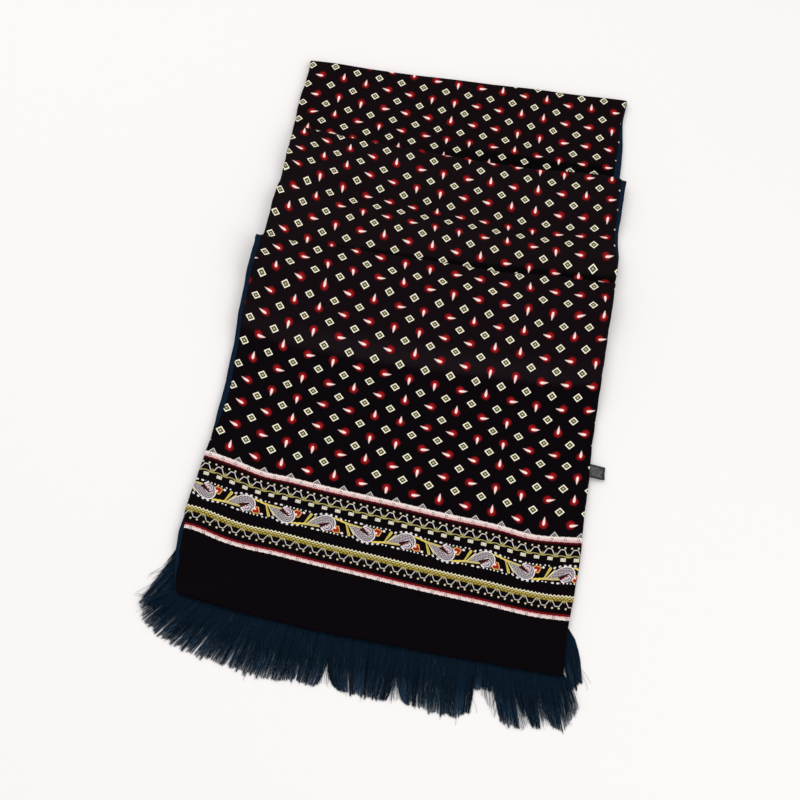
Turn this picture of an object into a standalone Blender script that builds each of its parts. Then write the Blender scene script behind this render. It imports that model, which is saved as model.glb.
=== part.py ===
"""Fringed silk scarf, lying folded back and forth on a flat surface.

Metres, +Z up, +X across the cloth, +Y along it, away from the near fringe.
The origin is the middle of the footprint, on the surface it rests on.

The cloth is double: a printed silk face sewn to a navy backing. From its near
hem the top stretch runs away to its far fold, turns under and comes back a
little; the middle stretch starts there and runs out to its own fold, and the
far stretch does the same. The rest of the cloth lies hidden below and comes
back to the near end, where its own fringe spreads under the upper one.
"""

import math
from collections import namedtuple

import bmesh
import bpy

# ---------------------------------------------------------------- driving sizes
SILK = 0.0010          # wall of the printed silk face
BACKING = 0.0010       # wall of the navy backing
GAP = 0.0003           # clearance between neighbouring pieces
LAYER = SILK + GAP + BACKING
PITCH = LAYER + GAP    # one double layer and its clearance in the pile
INNER = 0.0006         # air inside a fold
TURN = LAYER + INNER / 2   # outer radius of a fold

LEG_TOP = 0.024        # how far the top stretch comes back under its fold
LEG_MIDDLE = 0.036     # the same for the middle stretch
LEG_FAR = 0.026        # the same for the far stretch
TUCK = 0.002           # a stretch below starts this much short of the leg's end

REVEAL = 0.0045        # navy backing that shows past the silk along one edge
TRIM = 0.0005          # silk that stands past the backing along the other edge

FRINGE = 0.040         # reach of the upper fringe at its middle
FRINGE_WALL = 0.0012
HEM_RISE = 0.014       # length over which the hem climbs onto the lower layers
HUMP = 0.0018          # soft swelling where the hidden fold ends
LAYERS_AT_EDGE = 3     # layers that show along the sides of the hidden pile
PILE_SLACK = 0.0006    # further air between the hidden pile and what drapes over it

TAB_OUT, TAB_ALONG, TAB_WALL = 0.0130, 0.0110, 0.0012

# --------------------------------------------------------------------- tables
# Lines that run across the cloth: y where each meets a place x.
Across = namedtuple("Across", "x hem under_hem near_fold fold_top hidden_fold fold_middle fold_far")
ACROSS = [
    Across(-0.152, -0.2440, -0.2120, -0.0400, 0.0600, 0.1020, 0.1750, 0.2450),
    Across(-0.090, -0.2478, -0.2115, -0.0370, 0.0645, 0.0985, 0.1760, 0.2540),
    Across(-0.030, -0.2490, -0.2110, -0.0345, 0.0705, 0.0990, 0.1788, 0.2625),
    Across(+0.040, -0.2468, -0.2100, -0.0310, 0.0767, 0.1020, 0.1848, 0.2725),
    Across(+0.095, -0.2446, -0.2085, -0.0280, 0.0855, 0.1055, 0.1908, 0.2800),
    Across(+0.152, -0.2420, -0.2065, -0.0250, 0.0932, 0.1160, 0.1985, 0.2880),
]

# Outlines seen from above: left and right edge of each stretch at a place y.
Edge = namedtuple("Edge", "y left right")
TOP_EDGES = [
    Edge(-0.250, -0.1390, 0.1520),
    Edge(-0.222, -0.1462, 0.1510),
    Edge(-0.200, -0.1494, 0.1503),
    Edge(-0.180, -0.1482, 0.1510),
    Edge(-0.155, -0.1473, 0.1520),
    Edge(-0.130, -0.1452, 0.1508),
    Edge(-0.086, -0.1447, 0.1495),
    Edge(-0.045, -0.1459, 0.1480),
    Edge(+0.010, -0.1502, 0.1470),
    Edge(+0.055, -0.1512, 0.1465),
    Edge(+0.098, -0.1512, 0.1453),
]
MIDDLE_EDGES = [
    Edge(0.030, -0.1450, 0.1440),
    Edge(0.068, -0.1458, 0.1440),
    Edge(0.100, -0.1454, 0.1464),
    Edge(0.125, -0.1446, 0.1455),
    Edge(0.155, -0.1443, 0.1432),
    Edge(0.172, -0.1428, 0.1430),
    Edge(0.200, -0.1424, 0.1434),
]
FAR_EDGES = [
    Edge(0.130, -0.1430, 0.1390),
    Edge(0.176, -0.1455, 0.1388),
    Edge(0.210, -0.1460, 0.1378),
    Edge(0.238, -0.1453, 0.1360),
    Edge(0.262, -0.1462, 0.1334),
    Edge(0.290, -0.1465, 0.1348),
]
PILE_EDGES = [
    Edge(-0.214, -0.1405, 0.1480),
    Edge(-0.100, -0.1405, 0.1470),
    Edge(+0.000, -0.1430, 0.1455),
    Edge(+0.030, -0.1415, 0.1450),
    Edge(+0.070, -0.1395, 0.1445),
    Edge(+0.120, -0.1385, 0.1425),
    Edge(+0.176, -0.1395, 0.1370),
    Edge(+0.260, -0.1435, 0.1315),
]

# Reach of the fringes: where the threads leave the cloth and where they end.
Reach = namedtuple("Reach", "side root_x tip_x tip_y")
UPPER_REACH = [
    Reach(0.00, -0.1385, -0.1480, -0.2760),
    Reach(0.25, -0.0660, -0.0716, -0.2880),
    Reach(0.50, +0.0065, +0.0060, -0.2868),
    Reach(0.75, +0.0790, +0.0840, -0.2850),
    Reach(1.00, +0.1515, +0.1655, -0.2790),
]
UNDER_REACH = [
    Reach(0.00, -0.1465, -0.1680, -0.2530),
    Reach(0.25, -0.0720, -0.0850, -0.2600),
    Reach(0.50, +0.0020, +0.0010, -0.2610),
    Reach(0.75, +0.0760, +0.0880, -0.2600),
    Reach(1.00, +0.1500, +0.1690, -0.2520),
]

# ------------------------------------------------------------------- materials
Finish = namedtuple("Finish", "name color roughness sheen")
PRINTED_SILK = Finish("printed_silk", (0.012, 0.008, 0.011, 1), 0.42, 0.30)
NAVY_CLOTH = Finish("navy_cloth", (0.006, 0.021, 0.048, 1), 0.85, 0.45)
NAVY_THREAD = Finish("navy_thread", (0.008, 0.028, 0.055, 1), 0.80, 0.40)
BLACK_TAPE = Finish("black_tape", (0.014, 0.014, 0.015, 1), 0.60, 0.20)


def material(finish):
    made = bpy.data.materials.get(finish.name) or bpy.data.materials.new(finish.name)
    made.use_nodes = True
    shader = made.node_tree.nodes["Principled BSDF"]
    shader.inputs["Base Color"].default_value = finish.color
    shader.inputs["Roughness"].default_value = finish.roughness
    shader.inputs["Metallic"].default_value = 0.0
    shader.inputs["Sheen Weight"].default_value = finish.sheen
    return made


# -------------------------------------------------------------------- formulas
def smooth(a, b, value):
    """0 below a, 1 above b, with a soft start and end."""
    part = min(1.0, max(0.0, (value - a) / (b - a)))
    return part * part * (3 - 2 * part)


def column(rows, key, name, at):
    """A smooth curve through one named column of a table."""
    keys = [getattr(row, key) for row in rows]
    values = [getattr(row, name) for row in rows]
    at = min(max(at, keys[0]), keys[-1])
    i = max(k for k in range(len(keys) - 1) if keys[k] <= at or k == 0)
    slopes = [(values[k + 1] - values[k]) / (keys[k + 1] - keys[k]) for k in range(len(keys) - 1)]

    def tangent(k):
        if k == 0 or k == len(keys) - 1:
            return slopes[min(k, len(slopes) - 1)]
        return (slopes[k - 1] + slopes[k]) / 2

    step = keys[i + 1] - keys[i]
    t = (at - keys[i]) / step
    return (
        (2 * t**3 - 3 * t**2 + 1) * values[i]
        + (t**3 - 2 * t**2 + t) * step * tangent(i)
        + (3 * t**2 - 2 * t**3) * values[i + 1]
        + (t**3 - t**2) * step * tangent(i + 1)
    )


def line(name, x):
    return column(ACROSS, "x", name, x)


def far_height(x, y):
    """Upper surface of the far stretch."""
    return 2 * PITCH


def middle_height(x, y):
    """Upper surface of the middle stretch: it leaves the thick pile, sinks past the hidden fold and climbs again."""
    end = line("hidden_fold", x)
    start = line("fold_middle", x) - LEG_MIDDLE
    high = 4 * PITCH + HUMP * math.exp(-(((y - end + 0.004) / 0.013) ** 2))
    low = 2 * PITCH
    again = far_height(x, y) + GAP + 2 * TURN
    first = high + (low - high) * smooth(end + 0.001, end + 0.029, y)
    return first + (again - first) * smooth(start - 0.020, start - 0.001, y)


def top_height(x, y):
    """Upper surface of the top stretch, over two, four and then six layers."""
    under = line("under_hem", x)
    near = line("near_fold", x)
    start = line("fold_top", x) - LEG_TOP
    at_hem = FRINGE_WALL + GAP + LAYER
    height = at_hem + (2 * PITCH - at_hem) * smooth(under - HEM_RISE, under - 0.001, y)
    height += (4 * PITCH - height) * smooth(near - 0.004, near + 0.026, y)
    above = middle_height(x, max(y, start)) + GAP + 2 * TURN
    return height + (above - height) * smooth(start - 0.020, start - 0.001, y)


# --------------------------------------------------------------------- meshes
def new_object(name, mesh_data, finish):
    mesh = bpy.data.meshes.new(name)
    mesh_data.to_mesh(mesh)
    mesh_data.free()
    mesh.materials.append(material(finish))
    thing = bpy.data.objects.new(name, mesh)
    COLLECTION.objects.link(thing)
    mesh.shade_smooth()
    return thing


def sheet(name, finish, wall, columns, rows, place):
    """A wall of cloth: place(i, j) gives its outer surface, and the wall grows inwards from it."""
    shape = bmesh.new()
    bmesh.ops.create_grid(shape, x_segments=columns, y_segments=rows, size=1.0)
    shape.verts.ensure_lookup_table()
    for vert in shape.verts:
        i = round((vert.co.x + 1) / 2 * columns)
        j = round((vert.co.y + 1) / 2 * rows)
        vert.co = place(i, j)
    thing = new_object(name, shape, finish)
    shell = thing.modifiers.new("wall", "SOLIDIFY")
    shell.thickness = wall
    shell.offset = -1.0
    return thing


def stations(marks, steps):
    """Places along the cloth: each stretch between two marks is cut into its own number of steps."""
    places = [marks[0]]
    for first, second, count in zip(marks, marks[1:], steps):
        places += [first + (second - first) * (n + 1) / count for n in range(count)]
    return places


def top_marks(x):
    under, near, fold = line("under_hem", x), line("near_fold", x), line("fold_top", x)
    return [line("hem", x), under - HEM_RISE, under, near - 0.004, near + 0.026,
            fold - LEG_TOP - 0.020, fold - LEG_TOP, fold - TURN]


def middle_marks(x):
    first, end, fold = line("fold_top", x) - LEG_TOP, line("hidden_fold", x), line("fold_middle", x)
    return [first + TUCK, end - 0.018, end + 0.001, end + 0.027, fold - LEG_MIDDLE, fold - TURN]


def far_marks(x):
    return [line("fold_middle", x) - LEG_MIDDLE + TUCK, line("fold_far", x) - TURN]


TOP_STEPS, MIDDLE_STEPS, FAR_STEPS = [2, 3, 5, 5, 3, 5, 2], [3, 3, 5, 5, 3], [7]


def stretch(name, finish, wall, inset, edges, left, right, marks, steps, height, leg_height, leg, columns):
    """One stretch of cloth with its far fold.

    inset is how far below the outer surface this wall's own outer face lies, and left
    and right trim its edges.
    """
    along, turn_steps, leg_steps = sum(steps), 6, 3
    radius = TURN - inset

    def place(i, j):
        share = i / columns

        def x_at(y):
            low = column(edges, "y", "left", y) + left
            high = column(edges, "y", "right", y) - right
            return low + share * (high - low)

        def y_at(number):
            y = 0.0
            for _ in range(4):
                y = stations(marks(x_at(y)), steps)[number]
            return y

        y_turn = y_at(along)
        x_fold = x_at(y_turn)
        z_turn = height(x_fold, y_turn)
        if j <= along:
            y = y_at(j)
            x = x_at(y)
            return (x, y, height(x, y) - inset)
        if j < along + turn_steps:
            angle = math.pi * (0.5 - (j - along) / turn_steps)
            return (x_fold, y_turn + radius * math.cos(angle), z_turn - TURN + radius * math.sin(angle))
        back = leg * (j - along - turn_steps) / leg_steps
        y = y_turn - back
        x = x_at(y)
        return (x, y, leg_height(x, y) + inset)

    return sheet(name, finish, wall, columns, along + turn_steps + leg_steps, place)


def double_stretch(name, edges, reveal_left, reveal_right, marks, steps, height, leg_height, leg, columns):
    """The silk face and the backing of one stretch. The backing shows where a reveal is given."""
    stretch(
        "silk_" + name, PRINTED_SILK, SILK, 0.0, edges, reveal_left, reveal_right,
        marks, steps, height, leg_height, leg, columns,
    )
    stretch(
        "backing_" + name, NAVY_CLOTH, BACKING, SILK + GAP, edges,
        0.0 if reveal_left else TRIM, 0.0 if reveal_right else TRIM,
        marks, steps, height, leg_height, leg, columns,
    )


def hidden_pile():
    """The layers out of sight, as one rounded solid with a flat base and layered sides."""

    def levels(x):
        """Stations at a place x: (y, what lies on the pile there)."""
        top, middle, far = top_marks(x), middle_marks(x), far_marks(x)
        under_top = stations(top[2:7], TOP_STEPS[2:6])
        under_top[-1] -= 0.0018
        under_top.insert(1, under_top[0] + 0.0008)
        under_middle = stations(middle[:5], MIDDLE_STEPS[:4])
        under_middle[0] -= TUCK + 0.0004
        under_middle[-1] -= 0.0018
        under_far = stations([far[0] - TUCK - 0.0004, far[1] - LEG_FAR - GAP], [5])
        under_far.insert(-1, under_far[-1] - 0.0008)
        return (
            [(y, top_height) for y in under_top]
            + [(y, middle_height) for y in under_middle]
            + [(y, far_height) for y in under_far]
        )

    count = len(levels(0.0))
    across = 12
    rings = []
    shape = bmesh.new()
    for k in range(count):
        end_inset = 0.0006 if k in (0, count - 1) else 0.0
        ring = []

        def corner(share, level, inset):
            x = y = 0.0
            for _ in range(4):
                y = levels(x)[k][0]
                low = column(PILE_EDGES, "y", "left", y) + inset
                high = column(PILE_EDGES, "y", "right", y) - inset
                x = low + share * (high - low)
            cover = levels(x)[k][1](x, y) - PITCH - PILE_SLACK
            ring.append((x, y, (cover - end_inset) * level))

        for i in range(across + 1):
            corner(i / across, 0, 0.0010)
        for n in range(LAYERS_AT_EDGE):
            for part, inset in ((0.15, 0.0002), (0.5, 0.0), (0.85, 0.0002), (1.0, 0.0006)):
                corner(1, (n + part) / LAYERS_AT_EDGE, inset if n + part < LAYERS_AT_EDGE else 0.0010)
        for i in range(across - 1, -1, -1):
            corner(i / across, 1, 0.0010)
        for n in reversed(range(LAYERS_AT_EDGE)):
            for part, inset in ((0.85, 0.0002), (0.5, 0.0), (0.15, 0.0002), (0.0, 0.0006)):
                corner(0, (n + part) / LAYERS_AT_EDGE, inset)
        ring.pop()
        rings.append([shape.verts.new(point) for point in ring])
    for first, second in zip(rings, rings[1:]):
        for i in range(len(first)):
            n = (i + 1) % len(first)
            shape.faces.new((first[i], first[n], second[n], second[i]))
    top = across + 4 * LAYERS_AT_EDGE
    for ring, back in ((rings[0], True), (rings[-1], False)):
        low = ring[: across + 1]
        high = ring[top : top + across + 1][::-1]
        faces = [(low[i], low[i + 1], high[i + 1], high[i]) for i in range(across)]
        faces.append(ring[across : top + 1])
        faces.append(ring[top + across :] + [ring[0]])
        for face in faces:
            shape.faces.new(list(reversed(face)) if back else face)
    bmesh.ops.triangulate(shape, faces=list(shape.faces))
    if shape.calc_volume(signed=True) < 0:
        bmesh.ops.reverse_faces(shape, faces=list(shape.faces))
    return new_object("hidden_layers", shape, NAVY_CLOTH)


def fringe(name, reach, root, wall, columns, rows, height):
    """The plain solid that a fringe fills, from the hem to the ends of its threads."""

    def place(i, j):
        side, out = i / columns, j / rows
        root_x = column(reach, "side", "root_x", side)
        root_y = root(root_x) - GAP
        tip_x = column(reach, "side", "tip_x", side)
        tip_y = column(reach, "side", "tip_y", side) + 0.0022 * math.sin(7.3 * math.pi * side + 0.6)
        x = root_x + (tip_x - root_x) * out
        y = root_y + (tip_y - root_y) * out
        return (x, y, height(x, y) + wall)

    thing = sheet(name, NAVY_THREAD, wall, columns, rows, place)
    thing.modifiers["wall"].offset = 1.0  # the rows run towards -Y, so the grid faces down
    return thing


def upper_fringe_height(x, y):
    """Underside of the upper fringe: over the lower one, then down onto the surface."""
    lower_end = min(column(UNDER_REACH, "tip_x", "tip_y", x), -0.2530) - 0.0040
    return (FRINGE_WALL + GAP) * smooth(lower_end - 0.008, lower_end - 0.0005, y)


def side_tab():
    """Small folded tape in the right-hand seam of the top stretch."""
    columns, rows = 5, 4
    middle_y, turn = -0.0746, math.radians(4)
    edge_x = column(TOP_EDGES, "y", "right", middle_y) + GAP + 0.0012
    root_z = top_height(edge_x, middle_y) - SILK - GAP / 2 + TAB_WALL / 2

    def place(i, j):
        out, along = TAB_OUT * i / columns, TAB_ALONG * (j / rows - 0.5)
        x = edge_x + out * math.cos(turn) - along * math.sin(turn) * (i / columns)
        y = middle_y + along + out * math.sin(turn)
        z = root_z - 0.0018 * smooth(0.0, 1.0, i / columns)
        return (x, y, z)

    return sheet("side_label", BLACK_TAPE, TAB_WALL, columns, rows, place)


def middle_leg(x, y):
    """Underside of the top stretch's returning leg: just above the middle stretch."""
    return middle_height(x, y) + GAP


def far_leg(x, y):
    return far_height(x, y) + GAP


def table(x, y):
    return 0.0


# ----------------------------------------------------------------------- scene
for old in list(bpy.data.objects):
    bpy.data.objects.remove(old, do_unlink=True)
COLLECTION = bpy.data.collections.new("folded_silk_scarf")
bpy.context.scene.collection.children.link(COLLECTION)

double_stretch(
    "top", TOP_EDGES, REVEAL, 0.0, top_marks, TOP_STEPS,
    height=top_height, leg_height=middle_leg, leg=LEG_TOP - TURN, columns=12,
)
double_stretch(
    "middle", MIDDLE_EDGES, 0.0, REVEAL, middle_marks, MIDDLE_STEPS,
    height=middle_height, leg_height=far_leg, leg=LEG_MIDDLE - TURN, columns=10,
)
double_stretch(
    "far", FAR_EDGES, 0.0, REVEAL, far_marks, FAR_STEPS,
    height=far_height, leg_height=table, leg=LEG_FAR, columns=10,
)
hidden_pile()
fringe("fringe_under", UNDER_REACH, lambda x: line("under_hem", x), FRINGE_WALL, 22, 3, table)
fringe("fringe_top", UPPER_REACH, lambda x: line("hem", x), FRINGE_WALL, 24, 6, upper_fringe_height)
side_tab()

# The middle of the footprint goes to the origin.
bpy.context.view_layer.update()
reach = bpy.context.evaluated_depsgraph_get()
corners = [
    thing.matrix_world @ vert.co
    for thing in COLLECTION.objects
    for vert in thing.evaluated_get(reach).data.vertices
]
middle_x = (min(c.x for c in corners) + max(c.x for c in corners)) / 2
middle_y = (min(c.y for c in corners) + max(c.y for c in corners)) / 2
for thing in COLLECTION.objects:
    thing.location = (-middle_x, -middle_y, 0)
bpy.context.view_layer.update()
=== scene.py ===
"""Looks of the fringed silk scarf that lies folded back and forth.

Metres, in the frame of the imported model. The cloth is one long double strip, a
printed silk face on a navy backing: every stretch of it, also the hidden ones,
is a thin sheet that goes round its folds. The print is drawn by the material
over a map in metres, P across the cloth and Q along it.
"""

import math
from collections import namedtuple

import bmesh
import bpy
import numpy as np
from mathutils import Matrix, Vector


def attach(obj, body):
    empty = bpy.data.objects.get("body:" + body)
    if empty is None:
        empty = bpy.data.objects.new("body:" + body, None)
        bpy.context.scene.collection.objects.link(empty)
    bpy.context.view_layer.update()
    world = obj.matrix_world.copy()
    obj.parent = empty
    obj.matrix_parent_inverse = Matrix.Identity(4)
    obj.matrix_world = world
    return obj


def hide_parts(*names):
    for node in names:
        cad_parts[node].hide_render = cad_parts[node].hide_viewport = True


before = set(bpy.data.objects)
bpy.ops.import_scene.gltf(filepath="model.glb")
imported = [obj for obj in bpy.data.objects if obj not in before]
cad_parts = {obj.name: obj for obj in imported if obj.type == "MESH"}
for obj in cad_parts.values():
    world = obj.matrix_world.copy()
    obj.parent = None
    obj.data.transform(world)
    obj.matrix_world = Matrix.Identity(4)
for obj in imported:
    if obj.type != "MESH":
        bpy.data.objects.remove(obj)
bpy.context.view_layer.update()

# ------------------------------------------------------------------ sizes (m)
SHIFT = (-0.0005, 0.0022307, 0.0)  # from the tables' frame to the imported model's
SILK, BACKING, GAP = 0.0010, 0.0010, 0.0003
LAYER = SILK + GAP + BACKING
PITCH = LAYER + GAP
TURN = LAYER + 0.0006 / 2
LEG_TOP, LEG_MIDDLE, LEG_FAR, TUCK = 0.024, 0.036, 0.026, 0.002
TRIM = 0.0005
FRINGE_WALL, HEM_RISE, HUMP = 0.0012, 0.014, 0.0018
SILK_WALL = 0.0006     # the silk face as shown
CLOTH_WALL = 0.0013    # the navy backing as shown
UNDER_SILK = 0.0008    # from the silk's face to the backing's face

ACROSS_MM, ALONG_MM = 20.7, 19.63   # repeat of the print's lattice
BAND_Q = -118.85                    # middle of the border's first pale band, in print mm

Across = namedtuple("Across", "x hem under_hem near_fold fold_top hidden_fold fold_middle fold_far")
ACROSS = [
    Across(-0.152, -0.2440, -0.2120, -0.0400, 0.0608, 0.1020, 0.1750, 0.2472),
    Across(-0.122, -0.2458, -0.2118, -0.0385, 0.0616, 0.1003, 0.1750, 0.2516),
    Across(-0.090, -0.2478, -0.2115, -0.0370, 0.0647, 0.0985, 0.1757, 0.2547),
    Across(-0.060, -0.2484, -0.2112, -0.0358, 0.0675, 0.0988, 0.1774, 0.2582),
    Across(-0.030, -0.2490, -0.2110, -0.0345, 0.0708, 0.0990, 0.1789, 0.2625),
    Across(+0.004, -0.2479, -0.2105, -0.0328, 0.0737, 0.1005, 0.1817, 0.2674),
    Across(+0.040, -0.2468, -0.2100, -0.0310, 0.0765, 0.1020, 0.1850, 0.2725),
    Across(+0.068, -0.2457, -0.2092, -0.0295, 0.0805, 0.1038, 0.1883, 0.2763),
    Across(+0.095, -0.2446, -0.2085, -0.0280, 0.0858, 0.1055, 0.1936, 0.2800),
    Across(+0.120, -0.2435, -0.2076, -0.0267, 0.0880, 0.1101, 0.1978, 0.2835),
    Across(+0.152, -0.2420, -0.2065, -0.0250, 0.0932, 0.1160, 0.1986, 0.2880),
]
Edge = namedtuple("Edge", "y left right")
TOP_EDGES = [
    Edge(-0.250, -0.1390, 0.1520),
    Edge(-0.222, -0.1462, 0.1510),
    Edge(-0.200, -0.1494, 0.1503),
    Edge(-0.180, -0.1482, 0.1510),
    Edge(-0.155, -0.1473, 0.1520),
    Edge(-0.130, -0.1452, 0.1508),
    Edge(-0.086, -0.1447, 0.1495),
    Edge(-0.045, -0.1459, 0.1480),
    Edge(+0.010, -0.1502, 0.1470),
    Edge(+0.055, -0.1512, 0.1465),
    Edge(+0.098, -0.1512, 0.1453),
]
MIDDLE_EDGES = [
    Edge(0.030, -0.1450, 0.1440),
    Edge(0.068, -0.1458, 0.1440),
    Edge(0.100, -0.1454, 0.1464),
    Edge(0.125, -0.1446, 0.1455),
    Edge(0.155, -0.1443, 0.1432),
    Edge(0.172, -0.1428, 0.1430),
    Edge(0.200, -0.1424, 0.1434),
]
FAR_EDGES = [
    Edge(0.130, -0.1430, 0.1390),
    Edge(0.176, -0.1455, 0.1388),
    Edge(0.210, -0.1460, 0.1378),
    Edge(0.238, -0.1453, 0.1360),
    Edge(0.262, -0.1462, 0.1334),
    Edge(0.290, -0.1465, 0.1348),
]
PILE_EDGES = [
    Edge(-0.214, -0.1405, 0.1480),
    Edge(-0.100, -0.1405, 0.1470),
    Edge(+0.000, -0.1430, 0.1455),
    Edge(+0.030, -0.1415, 0.1450),
    Edge(+0.070, -0.1395, 0.1445),
    Edge(+0.120, -0.1385, 0.1425),
    Edge(+0.176, -0.1395, 0.1370),
    Edge(+0.260, -0.1435, 0.1315),
]
# Navy backing that shows past the silk, at a place y.
Reveal = namedtuple("Reveal", "y wide")
TOP_REVEAL = [
    Reveal(-0.2500, 0.0006), Reveal(-0.2330, 0.0010), Reveal(-0.2230, 0.0027), Reveal(-0.2050, 0.0032), Reveal(-0.1930, 0.0028),
    Reveal(-0.1860, 0.0002), Reveal(-0.1500, 0.0000), Reveal(-0.1160, 0.0003), Reveal(-0.1030, 0.0028), Reveal(-0.0900, 0.0042),
    Reveal(-0.0300, 0.0035), Reveal(0.0100, 0.0036), Reveal(0.0400, 0.0040), Reveal(0.0700, 0.0044),
]
MIDDLE_REVEAL = [
    Reveal(0.060, 0.0002), Reveal(0.105, 0.0003), Reveal(0.118, 0.0014), Reveal(0.132, 0.0028), Reveal(0.155, 0.0034),
    Reveal(0.185, 0.0042), Reveal(0.200, 0.0046),
]
FAR_REVEAL = [
    Reveal(0.130, 0.0058), Reveal(0.205, 0.0056), Reveal(0.222, 0.0048), Reveal(0.237, 0.0036), Reveal(0.250, 0.0026),
    Reveal(0.262, 0.0016), Reveal(0.276, 0.0008), Reveal(0.290, 0.0004),
]
NO_REVEAL = [Reveal(-0.3, 0.0), Reveal(0.3, 0.0)]

# Rows of the print's lattice along the middle of each stretch: y in mm and row number.
Row = namedtuple("Row", "y number")
TOP_ROWS = [
    Row(-250.0, -11.61), Row(-199.6, -9.14), Row(-138.75, -6.0545), Row(-118.0, -5), Row(-98.7, -4),
    Row(-79.4, -3), Row(-61.4, -2), Row(-42.1, -1), Row(-22.9, 0), Row(-2.4, 1),
    Row(17.6, 2), Row(36.4, 3), Row(56.0, 4), Row(96.0, 6),
]
MIDDLE_ROWS = [
    Row(37.4, 4), Row(57.4, 5), Row(77.4, 6), Row(97.1, 7), Row(116.6, 8), Row(132.7, 9),
    Row(150.8, 10), Row(170.75, 11), Row(210.0, 13),
]
FAR_ROWS = [
    Row(130.0, 12), Row(149.4, 13), Row(169.0, 14), Row(188.4, 15), Row(206.0, 16), Row(226.05, 17), Row(246.1, 18),
    Row(266.0, 19), Row(306.0, 21),
]
# How far the rows bow away from a straight line, in mm, at places x across each stretch.
TOP_BOW_X = (-150, -140, -119, -99, -78, -57, 0, 47, 89, 110, 131, 150)
Bow = namedtuple("Bow", "y at")
TOP_BOW = [
    Bow(-245, (6.6, 6.6, 3.0, 1.5, 1.5, 0.9, 0.0, -0.8, -0.5, -1.3, -0.2, 1.7)),
    Bow(-200, (6.8, 6.8, 3.1, 1.5, 1.5, 0.9, 0.0, -0.8, -0.5, -1.3, -0.2, 1.7)),
    Bow(-138, (6.5, 6.2, 3.2, 0.3, 0.7, 0.0, 0.2, 0.0, 0.1, -1.1, 1.0, 4.9)),
    Bow(-118, (7.2, 6.6, 3.6, 0.4, 0.2, 0.0, 0.0, 0.8, 1.0, 0.2, 3.0, 6.0)),
    Bow(-99, (7.8, 7.0, 3.4, 0.0, 0.0, -0.4, 0.0, 0.4, 1.2, 0.0, 3.4, 6.0)),
    Bow(-79, (8.6, 7.6, 3.2, 0.0, 0.0, 0.0, 0.0, 0.8, 1.2, 0.8, 4.0, 7.0)),
    Bow(-61, (10.0, 8.6, 3.8, 0.6, 0.0, 0.0, 0.0, 0.6, 1.2, 0.6, 4.0, 8.0)),
    Bow(-42, (11.2, 9.6, 4.8, 1.4, 0.4, 0.0, 0.0, 0.6, 1.6, 2.0, 5.8, 9.0)),
    Bow(-23, (12.0, 10.0, 5.0, 1.4, 0.8, 0.0, 0.0, 0.6, 2.4, 3.0, 7.0, 10.0)),
    Bow(-2, (12.6, 10.6, 5.2, 1.6, 1.0, 0.0, 0.0, 0.8, 1.8, 2.8, 6.6, 10.0)),
    Bow(18, (12.0, 9.6, 5.0, 1.4, 0.4, -0.2, 0.2, 1.0, 3.0, 4.4, 8.0, 11.0)),
    Bow(36, (12.0, 9.8, 5.8, 3.4, 2.0, 0.0, 0.0, 1.4, 4.4, 6.4, 10.8, 14.0)),
    Bow(56, (12.0, 9.8, 5.8, 3.4, 2.0, 0.0, 0.0, 1.4, 4.4, 6.4, 10.8, 14.0)),
    Bow(84, (12.0, 9.8, 5.8, 3.4, 2.0, 0.0, -0.3, 1.2, 4.2, 5.6, 9.0, 11.6)),
    Bow(96, (12.0, 9.8, 5.8, 3.4, 2.0, 0.0, -0.3, 1.2, 4.2, 5.6, 9.0, 11.6)),
]
MIDDLE_BOW_X = (-150, -141, -121, -101, -80, -60, 0, 42, 62, 82, 103, 124, 146)
MIDDLE_BOW = [
    Bow(30, (12.0, 9.0, 3.4, 0.4, 0.0, 0.0, 0.0, 1.0, 2.0, 3.4, 4.6, 8.0, 10.0)),
    Bow(78, (12.0, 9.0, 3.4, 0.4, 0.0, 0.0, 0.0, 1.0, 2.0, 3.4, 4.6, 8.0, 10.0)),
    Bow(97, (12.0, 8.8, 3.4, 0.0, 0.0, 0.0, 1.0, 1.5, 1.5, 2.6, 2.6, 3.6, 5.0)),
    Bow(116, (16.0, 12.6, 6.2, 2.0, -0.4, -1.0, 1.0, 2.3, 3.1, 4.5, 5.8, 9.0, 12.4)),
    Bow(133, (19.0, 16.0, 9.6, 4.6, 1.6, -0.2, 0.0, 2.0, 3.0, 5.4, 8.4, 13.0, 17.0)),
    Bow(151, (15.0, 13.4, 10.4, 5.6, 2.8, -0.2, 0.2, 2.4, 3.4, 5.4, 8.4, 13.0, 17.0)),
    Bow(171, (9.0, 8.0, 5.0, 2.0, 0.0, -0.6, 0.4, 3.4, 5.0, 6.8, 9.4, 13.0, 16.0)),
    Bow(210, (9.0, 8.0, 5.0, 2.0, 0.0, -0.6, 0.4, 3.4, 5.0, 6.8, 9.4, 13.0, 16.0)),
]
FAR_BOW_X = (-148, -141, -122, -103, -64, -26, 13, 53, 94, 114, 134)
FAR_BOW = [
    Bow(130, (-5.0, -3.0, 0.5, -0.8, 0.0, 1.4, 4.6, 6.6, 8.6, 11.6, 13.0)),
    Bow(300, (-5.0, -3.0, 0.5, -0.8, 0.0, 1.4, 5.4, 7.6, 8.8, 11.8, 13.0)),
]

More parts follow.
